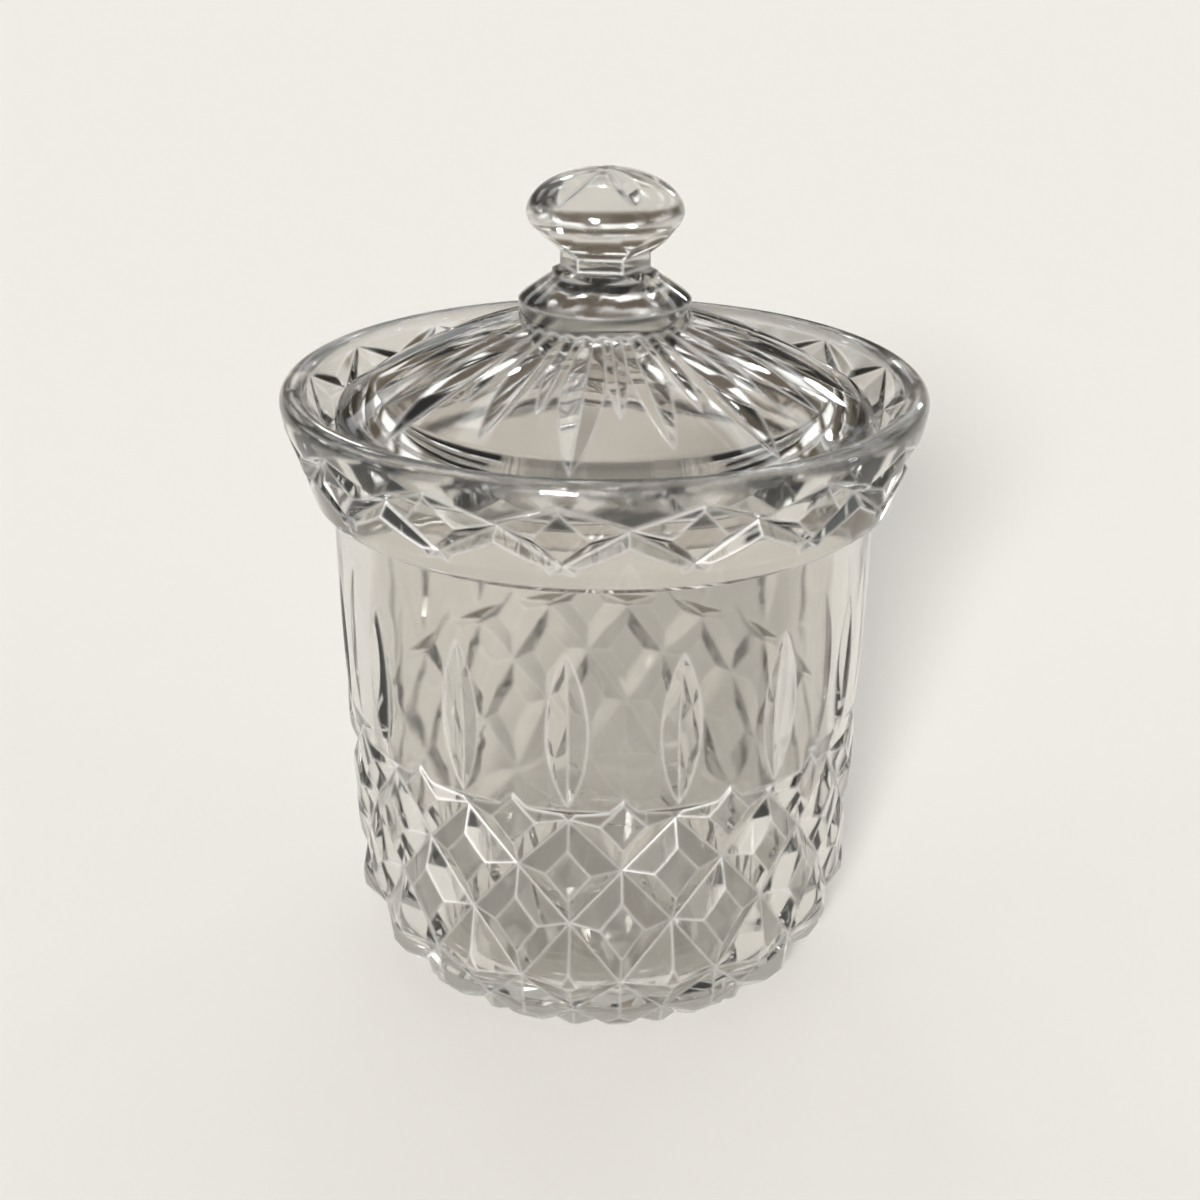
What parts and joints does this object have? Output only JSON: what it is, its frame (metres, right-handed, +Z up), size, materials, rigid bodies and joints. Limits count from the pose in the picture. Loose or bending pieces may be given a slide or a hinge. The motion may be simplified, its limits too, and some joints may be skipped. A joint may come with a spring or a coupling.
{
  "type": "lidded canister",
  "caption": "Round cut-crystal canister: heavy glass jar with diamond and lancet cutting and a flared collar, closed by an inset domed lid with a mushroom knob that lifts off.",
  "frame": {"origin": "centre of the base, on the surface it stands on", "axes": "+Z up along the axis of the jar, front lancet and front long petal towards -Y"},
  "size_m": [0.1536, 0.1536, 0.1976],
  "materials": {
    "crystal": "polished cut crystal, clear"
  },
  "bodies": {
    "jar": {"jar": "crystal"},
    "lid": {"lid": "crystal", "lid_knob": "crystal"}
  },
  "joints": [
    {"name": "lid_lift", "type": "slide", "parent": "jar", "child": "lid", "axis": [0, 0, 1], "range_m": [0, 0.08]}
  ]
}
